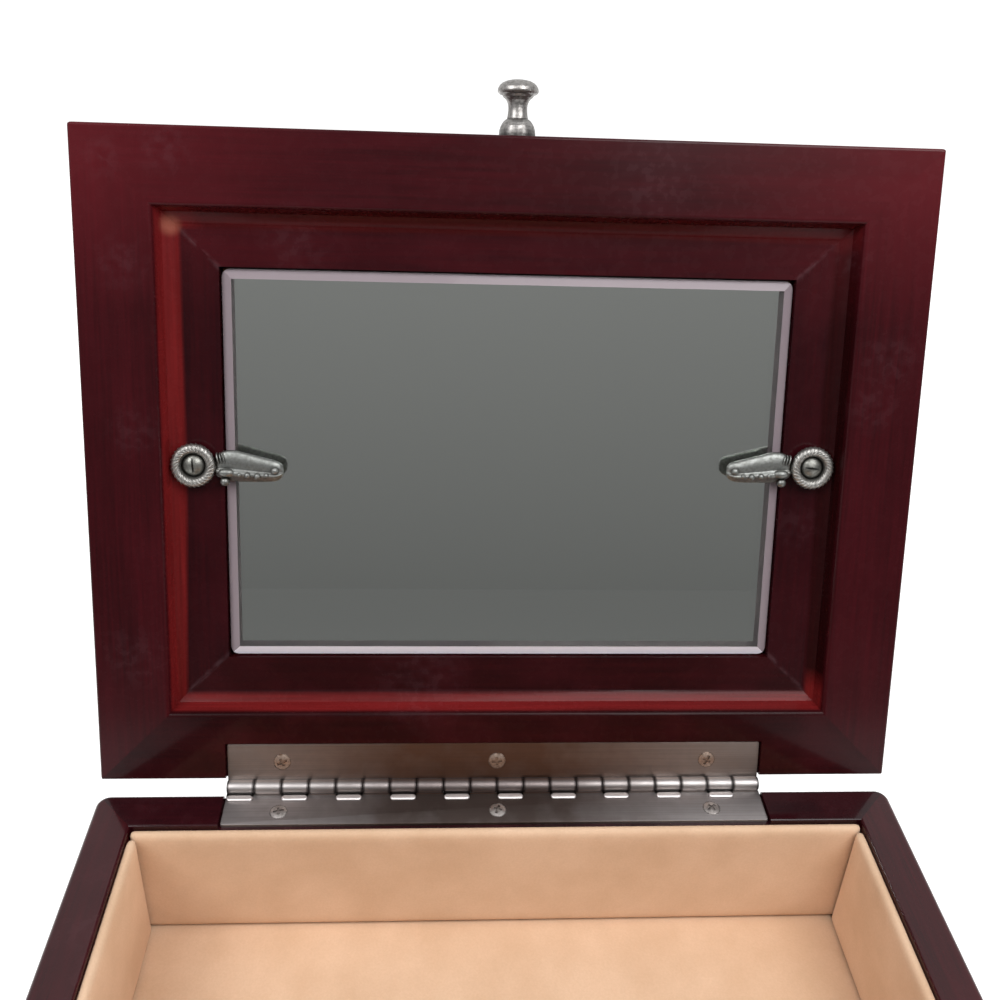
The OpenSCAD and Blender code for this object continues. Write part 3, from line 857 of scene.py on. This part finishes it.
def suede():
    """Pigskin suede glued over thin board: matt tan with a short nap that lies in soft clouds
    and lightens towards the edges of vision."""
    made, tree = new_material("tan_suede")
    place = add(tree, "TexCoord").outputs["Object"]
    nap = add(tree, "TexNoise", {"Vector": place, "Scale": per_mm(14), "Detail": 3}).outputs["Fac"]
    fibre = add(
        tree, "TexNoise", {"Vector": place, "Scale": per_mm(0.5), "Detail": 4}
    ).outputs["Fac"]
    clouds = add(
        tree, "MapRange", {"Value": nap, "From Min": 0.35, "From Max": 0.65}
    ).outputs["Result"]
    colour = add(
        tree,
        "MixRGB",
        {"Fac": clouds, "Color1": linear("#d0ae90"), "Color2": linear("#dab99c")},
    ).outputs["Color"]
    speck = add(
        tree, "MapRange", {"Value": fibre, "From Min": 0.3, "From Max": 0.7, "To Max": 0.12}
    ).outputs["Result"]
    colour = add(
        tree, "MixRGB", {"Fac": speck, "Color1": colour, "Color2": linear("#a5795a")}
    ).outputs["Color"]
    bump = add(
        tree, "Bump", {"Height": fibre, "Strength": 0.3, "Distance": 0.12 * MM}
    ).outputs["Normal"]
    skin = add(
        tree,
        "BsdfPrincipled",
        {
            "Base Color": colour,
            "Roughness": 0.95,
            "Specular IOR Level": 0.15,
            "Sheen Weight": 0.2,
            "Sheen Roughness": 0.5,
            "Sheen Tint": linear("#f0d2b8"),
            "Normal": bump,
        },
    )
    add(tree, "OutputMaterial", {"Surface": skin.outputs[0]})
    return made


def knuckle_tone_and_light(tree, colour, axes, tarnish_and_reflection, on_box):
    """The knuckles are greyer than the plates, with painted shade in the gaps between them, and the
    raised bars on the box's leaf carry a painted highlight along their tops."""
    around = add(
        tree, "CombineXYZ", {"X": PIN.x, "Y": axes["Y"], "Z": axes["Z"]}
    ).outputs["Vector"]
    around = add(tree, "VectorMath", {0: around, 1: PIN}, operation="DISTANCE").outputs["Value"]
    rolled = add(
        tree, "MapRange", {"Value": around, "From Min": 1.85 * MM, "From Max": 1.7 * MM}
    ).outputs["Result"]
    grey = add(
        tree, "MixRGB", {"Fac": tarnish_and_reflection, "Color1": linear("#b5b0ae"), "Color2": linear("#766d6b")}
    ).outputs["Color"]
    colour = add(
        tree, "MixRGB", {"Fac": rolled, "Color1": colour, "Color2": grey}
    ).outputs["Color"]
    pin_low, pin_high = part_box("hinge_pin")
    pitch = (pin_high.x - pin_low.x) / KNUCKLES
    # Painted shade: darker at the ends of each knuckle, in the gaps between them
    joint = add(tree, "Math", {0: axes["X"], 1: pin_low.x}, operation="SUBTRACT").outputs[0]
    joint = add(tree, "Math", {0: joint, 1: pitch / 2}, operation="PINGPONG").outputs[0]
    joint = add(
        tree,
        "MapRange",
        {"Value": joint, "From Min": 0.75 * MM, "From Max": 0.25 * MM, "To Max": 0.8},
        interpolation_type="SMOOTHSTEP",
    ).outputs["Result"]
    joint = add(tree, "Math", {0: joint, 1: rolled}, operation="MULTIPLY").outputs[0]
    colour = add(
        tree, "MixRGB", {"Fac": joint, "Color1": colour, "Color2": linear("#2a2424")}
    ).outputs["Color"]
    # Painted highlight along the tops of the raised bars on the box's leaf
    bar_up = add(
        tree,
        "MapRange",
        {"Value": axes["Z"], "From Min": RIM_TOP - 0.6 * MM, "From Max": RIM_TOP - 0.3 * MM},
    ).outputs["Result"]
    painted_light_share = add(tree, "Math", {0: bar_up, 1: on_box}, operation="MULTIPLY").outputs[0]
    return add(
        tree, "MixRGB", {"Fac": painted_light_share, "Color1": colour, "Color2": linear("#e2dcda")}
    ).outputs["Color"]


def rolled_steel():
    """Cold-rolled strip with a worn nickel plate: fine lines that run along the hinge, random brown
    tarnish, and a painted brown reflection of the box's inside that is deepest in the middle."""
    made, tree = new_material("leaf_steel")
    place = add(tree, "TexCoord").outputs["Object"]
    run = add(
        tree, "Mapping", {"Vector": place, "Scale": (per_mm(30), per_mm(0.3), per_mm(0.3))}
    ).outputs["Vector"]
    lines = add(tree, "TexNoise", {"Vector": run, "Scale": 1, "Detail": 5}).outputs["Fac"]
    worn = add(tree, "TexNoise", {"Vector": place, "Scale": per_mm(7), "Detail": 4}).outputs["Fac"]
    axes = add(tree, "SeparateXYZ", {"Vector": place}).outputs
    across = add(tree, "Math", {0: axes["X"], 1: 5 * MM}, operation="ADD").outputs[0]
    across = add(tree, "Math", {0: across}, operation="ABSOLUTE").outputs[0]
    # Painted reflection of the box's inside: brown, deepest in the middle of the leaves
    middle = add(
        tree,
        "MapRange",
        {"Value": across, "From Min": 62 * MM, "From Max": 10 * MM, "To Max": 0.95},
        interpolation_type="SMOOTHSTEP",
    ).outputs["Result"]
    stain = add(
        tree,
        "MapRange",
        {"Value": worn, "From Min": 0.35, "From Max": 0.65, "To Min": -0.08, "To Max": 0.14},
    ).outputs["Result"]
    tarnish_and_reflection = add(
        tree, "Math", {0: middle, 1: stain}, operation="ADD", use_clamp=True
    ).outputs[0]
    tone = add(
        tree, "MapRange", {"Value": lines, "From Min": 0.3, "From Max": 0.7}
    ).outputs["Result"]
    on_box = add(
        tree, "Math", {0: axes["Y"], 1: BACK_FACE + 0.1 * MM}, operation="LESS_THAN"
    ).outputs[0]
    # The lid's leaf is tinted warmer than the box's: painted reflection of the lining and wood
    clean = add(
        tree, "MixRGB", {"Fac": on_box, "Color1": linear("#a39791"), "Color2": linear("#aaa4a3")}
    ).outputs["Color"]
    reflected_brown = add(
        tree, "MixRGB", {"Fac": on_box, "Color1": linear("#6d5143"), "Color2": linear("#564b47")}
    ).outputs["Color"]
    colour = add(
        tree, "MixRGB", {"Fac": tarnish_and_reflection, "Color1": clean, "Color2": reflected_brown}
    ).outputs["Color"]
    scored = add(tree, "Math", {0: tone, 1: 0.25}, operation="MULTIPLY").outputs[0]
    colour = add(
        tree, "MixRGB", {"Fac": scored, "Color1": colour, "Color2": linear("#4a3f3a")}
    ).outputs["Color"]
    colour = knuckle_tone_and_light(tree, colour, axes, tarnish_and_reflection, on_box)
    shine = add(
        tree,
        "MapRange",
        {"Value": worn, "From Min": 0.3, "From Max": 0.7, "To Min": 0.42, "To Max": 0.52},
    ).outputs["Result"]
    bump = add(
        tree, "Bump", {"Height": lines, "Strength": 0.08, "Distance": 0.03 * MM}
    ).outputs["Normal"]
    metal = add(
        tree,
        "BsdfPrincipled",
        {"Base Color": colour, "Metallic": 1, "Roughness": shine, "Normal": bump},
    )
    add(tree, "OutputMaterial", {"Surface": metal.outputs[0]})
    return made


def cast_metal(name, light, dark, rough, dull=None, reach=0.8):
    """Metal tumbled bright on its high places, mottled, and left dark in its hollows as patina;
    with a wide reach the darkening is painted shade under overhangs.
    ring is rubbed bright by fingers while its arm keeps the dull colour."""
    made, tree = new_material(name)
    place = add(tree, "TexCoord").outputs["Object"]
    hollow_patina_and_shade = add(tree, "AmbientOcclusion", {"Distance": reach * MM}, samples=8).outputs["AO"]
    worn = add(
        tree, "MapRange", {"Value": hollow_patina_and_shade, "From Min": 0.4, "From Max": 0.95}
    ).outputs["Result"]
    pits = add(tree, "TexNoise", {"Vector": place, "Scale": per_mm(0.7), "Detail": 5}).outputs["Fac"]
    high = linear(light)
    if dull:
        axes = add(tree, "SeparateXYZ", {"Vector": place}).outputs
        across = add(tree, "Math", {0: axes["X"]}, operation="ABSOLUTE").outputs[0]
        arm = add(
            tree, "MapRange", {"Value": across, "From Min": 67.2 * MM, "From Max": 65.6 * MM}
        ).outputs["Result"]
        high = add(
            tree, "MixRGB", {"Fac": arm, "Color1": high, "Color2": linear(dull)}
        ).outputs["Color"]
    mottle = add(
        tree, "MapRange", {"Value": pits, "From Min": 0.42, "From Max": 0.64, "To Max": 0.4}
    ).outputs["Result"]
    high = add(
        tree, "MixRGB", {"Fac": mottle, "Color1": high, "Color2": linear(dark)}
    ).outputs["Color"]
    colour = add(
        tree, "MixRGB", {"Fac": worn, "Color1": linear(dark), "Color2": high}
    ).outputs["Color"]
    shine = add(
        tree,
        "MapRange",
        {"Value": pits, "From Min": 0.3, "From Max": 0.7, "To Min": rough, "To Max": rough + 0.18},
    ).outputs["Result"]
    bump = add(
        tree, "Bump", {"Height": pits, "Strength": 0.45, "Distance": 0.1 * MM}
    ).outputs["Normal"]
    metal = add(
        tree,
        "BsdfPrincipled",
        {"Base Color": colour, "Metallic": 1, "Roughness": shine, "Normal": bump},
    )
    add(tree, "OutputMaterial", {"Surface": metal.outputs[0]})
    return made


def plate_glass():
    """Float glass with ground and polished slopes: clear over the silver, with a painted pale lavender
    reflection along the slopes, brightest on the lower slope."""
    made, tree = new_material("plate_glass")
    across = add(tree, "TexCoord").outputs["Normal"]
    facing = add(
        tree,
        "VectorMath",
        {0: across, 1: LID.to_3x3() @ Vector((0, 0, 1))},
        operation="DOT_PRODUCT",
    ).outputs["Value"]
    facing = add(tree, "Math", {0: facing}, operation="ABSOLUTE").outputs[0]
    slope = add(
        tree, "MapRange", {"Value": facing, "From Min": 0.985, "From Max": 0.95, "To Max": 0.85}
    ).outputs["Result"]
    upward = add(
        tree,
        "VectorMath",
        {0: across, 1: LID.to_3x3() @ Vector((0, 1, 0))},
        operation="DOT_PRODUCT",
    ).outputs["Value"]
    # Painted reflection: the lower slope is painted brighter than the others
    below = add(
        tree, "MapRange", {"Value": upward, "From Min": -0.04, "From Max": -0.16}
    ).outputs["Result"]
    pale = add(
        tree, "MixRGB", {"Fac": below, "Color1": linear("#8e8187"), "Color2": linear("#f2eef8")}
    ).outputs["Color"]
    glass = add(
        tree,
        "BsdfPrincipled",
        {
            "Base Color": linear("#eef2f0"),
            "Roughness": 0.0,
            "IOR": 1.52,
            "Transmission Weight": 1,
        },
    )
    painted_gleam = add(
        tree,
        "BsdfPrincipled",
        {"Base Color": pale, "Roughness": 0.4, "Specular IOR Level": 0.3},
    )
    both = add(tree, "MixShader", {0: slope, 1: glass.outputs[0], 2: painted_gleam.outputs[0]})
    add(tree, "OutputMaterial", {"Surface": both.outputs[0]})
    return made


def silvering():
    """Silver film on the back of the glass: a sharp and nearly colourless mirror."""
    made, tree = new_material("mirror_silver")
    metal = add(
        tree,
        "BsdfPrincipled",
        {"Base Color": linear("#f1f1ee"), "Metallic": 1, "Roughness": 0.015},
    )
    add(tree, "OutputMaterial", {"Surface": metal.outputs[0]})
    return made


def fibreboard():
    """Hardboard: pressed brown fibres, matt and a little mottled."""
    made, tree = new_material("fibreboard")
    place = add(tree, "TexCoord").outputs["Object"]
    fibre = add(
        tree, "TexNoise", {"Vector": place, "Scale": per_mm(1.2), "Detail": 6}
    ).outputs["Fac"]
    tone = add(
        tree, "MapRange", {"Value": fibre, "From Min": 0.35, "From Max": 0.65}
    ).outputs["Result"]
    colour = add(
        tree,
        "MixRGB",
        {"Fac": tone, "Color1": linear("#6e4b2f"), "Color2": linear("#8f6a46")},
    ).outputs["Color"]
    bump = add(
        tree, "Bump", {"Height": fibre, "Strength": 0.3, "Distance": 0.1 * MM}
    ).outputs["Normal"]
    board = add(
        tree,
        "BsdfPrincipled",
        {"Base Color": colour, "Roughness": 0.8, "Specular IOR Level": 0.2, "Normal": bump},
    )
    add(tree, "OutputMaterial", {"Surface": board.outputs[0]})
    return made


# Studio
def softbox(name, place, aim, size, watts):
    """A soft lamp that faces the point aimed at."""
    lamp = bpy.data.lights.new(name, "AREA")
    lamp.shape = "RECTANGLE"
    lamp.size, lamp.size_y = size
    lamp.energy = watts
    stand = bpy.data.objects.new(name, lamp)
    stand.location = place
    stand.rotation_mode = "QUATERNION"
    stand.rotation_quaternion = (Vector(aim) - Vector(place)).to_track_quat("-Z", "Y")
    bpy.context.scene.collection.objects.link(stand)
    return stand


def background_share(tree):
    """1 for the rays that see the background: straight, mirrored or through glass."""
    rays = add(tree, "LightPath").outputs
    either = add(
        tree, "Math", {0: rays["Is Camera Ray"], 1: rays["Is Glossy Ray"]}, operation="MAXIMUM"
    ).outputs[0]
    return add(
        tree, "Math", {0: either, 1: rays["Is Transmission Ray"]}, operation="MAXIMUM"
    ).outputs[0]


def room():
    """Pale room behind the box, a dim one in front of it, and the even light of both."""
    world = bpy.data.worlds.new("studio")
    world.use_nodes = True
    tree = world.node_tree
    tree.nodes.clear()
    way = add(tree, "TexCoord").outputs["Generated"]
    axes = add(tree, "SeparateXYZ", {"Vector": way}).outputs
    dim = add(
        tree,
        "MapRange",
        {"Value": axes["Z"], "From Min": -0.2, "From Max": 0.6, "To Min": 0.1, "To Max": 0.32},
    ).outputs["Result"]
    sides = add(
        tree,
        "MapRange",
        {"Value": axes["Y"], "From Min": -0.93, "From Max": -0.6},
        interpolation_type="SMOOTHSTEP",
    ).outputs["Result"]
    behind = add(
        tree, "MapRange", {"Value": axes["Y"], "From Min": 0.0, "From Max": 0.35}
    ).outputs["Result"]
    mirrored = add(
        tree, "MixRGB", {"Fac": sides, "Color1": dim, "Color2": (0.36, 0.36, 0.38, 1)}
    ).outputs["Color"]
    mirrored = add(
        tree, "MixRGB", {"Fac": behind, "Color1": mirrored, "Color2": (1, 1, 1, 1)}
    ).outputs["Color"]
    straight = add(tree, "LightPath").outputs["Is Camera Ray"]
    seen = add(
        tree, "MixRGB", {"Fac": straight, "Color1": mirrored, "Color2": (1, 1, 1, 1)}
    ).outputs["Color"]
    seen = add(tree, "Background", {"Color": seen, "Strength": 1})
    overhead = add(
        tree,
        "MapRange",
        {"Value": axes["Z"], "From Min": 0.1, "From Max": 1, "To Min": 0.08, "To Max": 0.34},
    ).outputs["Result"]
    ambient = add(tree, "Background", {"Color": overhead, "Strength": 1})
    share = background_share(tree)
    mixed = add(tree, "MixShader", {0: share, 1: ambient.outputs[0], 2: seen.outputs[0]})
    add(tree, "OutputWorld", {"Surface": mixed.outputs[0]})
    bpy.context.scene.world = world


def pale_floor():
    """Sheet of white paper that keeps the box's shadow. What mirrors it sees its front part dim."""
    bpy.ops.mesh.primitive_plane_add(size=12, location=(0, 0, 0))
    floor = named("floor")
    made, tree = new_material("pale_floor")
    place = add(tree, "TexCoord").outputs["Object"]
    front = add(tree, "SeparateXYZ", {"Vector": place}).outputs["Y"]
    lit = add(
        tree,
        "MapRange",
        {"Value": front, "From Min": -0.42, "From Max": -0.16, "To Min": 0.145, "To Max": 1},
        interpolation_type="SMOOTHSTEP",
    ).outputs["Result"]
    straight = add(tree, "LightPath").outputs["Is Camera Ray"]
    lit = add(tree, "Math", {0: lit, 1: straight}, operation="MAXIMUM").outputs[0]
    far = add(tree, "VectorMath", {0: place}, operation="LENGTH").outputs["Value"]
    level = add(
        tree,
        "MapRange",
        {"Value": far, "From Min": 0.15, "From Max": 1.0, "To Min": 0.84, "To Max": 1.0},
    ).outputs["Result"]
    level = add(tree, "Math", {0: lit, 1: level}, operation="MULTIPLY").outputs[0]
    shade = add(tree, "Math", {0: lit, 1: 0.45}, operation="MULTIPLY").outputs[0]
    paper = add(tree, "BsdfDiffuse", {"Color": shade})
    glow = add(tree, "Emission", {"Color": level, "Strength": background_share(tree)})
    both = add(tree, "AddShader", {0: paper.outputs[0], 1: glow.outputs[0]})
    add(tree, "OutputMaterial", {"Surface": both.outputs[0]})
    floor.data.materials.append(made)


def lamps():
    """Two large softboxes over the front, a small one low at the right and one behind."""
    box_middle = (0, 0.05, 0.08)
    lid_middle = (0, 0.1, 0.11)
    softbox("key_softbox", (0.2, -0.2, 0.54), box_middle, (0.38, 0.38), 2.75)
    softbox("fill_softbox", (-0.42, -0.2, 0.6), box_middle, (0.4, 0.4), 3.05)
    low = softbox("low_softbox", (0.62, 0.065, 0.075), lid_middle, (0.12, 0.09), 1.5)
    low.visible_glossy = False
    back = softbox("back_softbox", (0, 0.7, 0.42), lid_middle, (0.4, 0.3), 3.5)
    back.visible_glossy = False


def camera():
    """The photograph's viewpoint, found from the corners of the lid and of the rim."""
    yaw, pitch, roll = (math.radians(angle) for angle in (4.119, 29.111, 2.740))
    eye = (-17.2 * MM, -105.4 * MM, RIM_TOP + 195.2 * MM)
    lens = bpy.data.cameras.new("camera")
    lens.sensor_width = 36
    lens.lens = 37.78
    lens.shift_y = -0.05
    lens.clip_start = 0.01
    stand = bpy.data.objects.new("camera", lens)
    bpy.context.scene.collection.objects.link(stand)
    stand.matrix_world = (
        Matrix.Translation(eye)
        @ Matrix.Rotation(-yaw, 4, "Z")
        @ Matrix.Rotation(math.pi / 2 - pitch, 4, "X")
        @ Matrix.Rotation(roll, 4, "Z")
    )
    bpy.context.scene.camera = stand


bpy.context.scene.view_settings.view_transform = "Standard"
room()
pale_floor()
lamps()
camera()

# Finishes
DARK, LIGHT = "#2a080c", "#3b0c12"
wood_x = cherry_lacquer("cherry_lacquer_box_x", "X", False, DARK, LIGHT, 0.31)
# Painted shade: a darker copy of the lacquer for the back wall by the hinge
box_wood_shaded = cherry_lacquer("cherry_lacquer_box_shaded", "X", False, "#1b0509", "#28080d", 0.37)
wood_y = cherry_lacquer("cherry_lacquer_box_y", "Y", False, DARK, LIGHT, 0.47)
lid_wood_x = cherry_lacquer("cherry_lacquer_lid_x", "X", True, DARK, LIGHT, 0.59)
lid_wood_y = cherry_lacquer("cherry_lacquer_lid_y", "Y", True, DARK, LIGHT, 0.73)
# Painted shade: a darker copy of the lacquer for the lid's back rail by the hinge
lid_wood_shaded = cherry_lacquer("cherry_lacquer_lid_shaded", "X", True, "#1e0507", "#2b080b", 0.67)
inner_wood_x = cherry_lacquer("cherry_lacquer_inner_x", "X", True, "#28070c", "#37090f", 0.83)
inner_wood_y = cherry_lacquer("cherry_lacquer_inner_y", "Y", True, "#22060a", "#2f080d", 0.97)
# Painted shade: a darker copy of the lacquer for the inner back rail by the hinge
inner_wood_shaded = cherry_lacquer("cherry_lacquer_inner_shaded", "X", True, "#1f0507", "#2c080b", 0.89)
tan_suede = suede()
leaf_steel = rolled_steel()
# The lid's screws are tinted tan: painted reflection of the lining; the box's keep the nickel colour
screw_tan_reflection = cast_metal("screw_tan_reflection", "#bba596", "#4a3d36", 0.36)
screw_nickel = cast_metal("screw_nickel", "#bdb6b2", "#4a433f", 0.36)
clip_pewter = cast_metal("clip_pewter", "#aeaca8", "#45433f", 0.36, dull="#868885")
screw_pewter = cast_metal("screw_pewter", "#84847f", "#3c3a37", 0.36)
# The knob's wide reach darkens its neck and the underside of its head: painted shade
knob_pewter = cast_metal("knob_pewter", "#a19e9b", "#1c1716", 0.32, reach=6)
clear_glass = plate_glass()
silver = silvering()
board = fibreboard()

for node, material in {
    "box_wall_front": wood_x,
    "box_wall_back": box_wood_shaded,
    "box_wall_left": wood_y,
    "box_wall_right": wood_y,
    "lid_rail_front": lid_wood_x,
    "lid_rail_back": lid_wood_shaded,
    "lid_rail_left": lid_wood_y,
    "lid_rail_right": lid_wood_y,
    "lid_top_panel": lid_wood_x,
    "inner_rail_front": inner_wood_x,
    "inner_rail_back": inner_wood_shaded,
    "inner_rail_left": inner_wood_y,
    "inner_rail_right": inner_wood_y,
    "bottom_board": board,
    "mirror_backing": board,
    "hinge_leaf_box": leaf_steel,
    "hinge_leaf_lid": leaf_steel,
    "hinge_pin": leaf_steel,
    "hinge_screws_box": screw_nickel,
    "hinge_screws_lid": screw_tan_reflection,
    "turn_clip_left": clip_pewter,
    "turn_clip_right": clip_pewter,
    "clip_screws": screw_pewter,
    "lid_knob": knob_pewter,
    "mirror_glass": clear_glass,
    "lining_front": tan_suede,
    "lining_back": tan_suede,
    "lining_left": tan_suede,
    "lining_right": tan_suede,
    "lining_floor": tan_suede,
}.items():
    mesh = frame["nodes"][node].data
    mesh.materials.clear()
    mesh.materials.append(material)

# Pieces
suede_pad("lining_floor", (0, 0, -1), FLOOR_PAD_CELL)
suede_pad("lining_back", (0, 1, 0), PAD_CELL)
suede_pad("lining_front", (0, -1, 0), PAD_CELL)
suede_pad("lining_left", (-1, 0, 0), PAD_CELL)
suede_pad("lining_right", (1, 0, 0), PAD_CELL)
hinge_leaf("piano_leaf_box", BOX, -1, "hinge_leaf_box", "box")
hinge_leaf("piano_leaf_lid", LID, 1, "hinge_leaf_lid", "lid")
leaf_screws("hinge_screws_box", BOX, "box", (12, 70, 40), screw_nickel)
leaf_screws("hinge_screws_lid", LID, "lid", (25, 5, 62), screw_tan_reflection)
turning_clips()
silver_film()
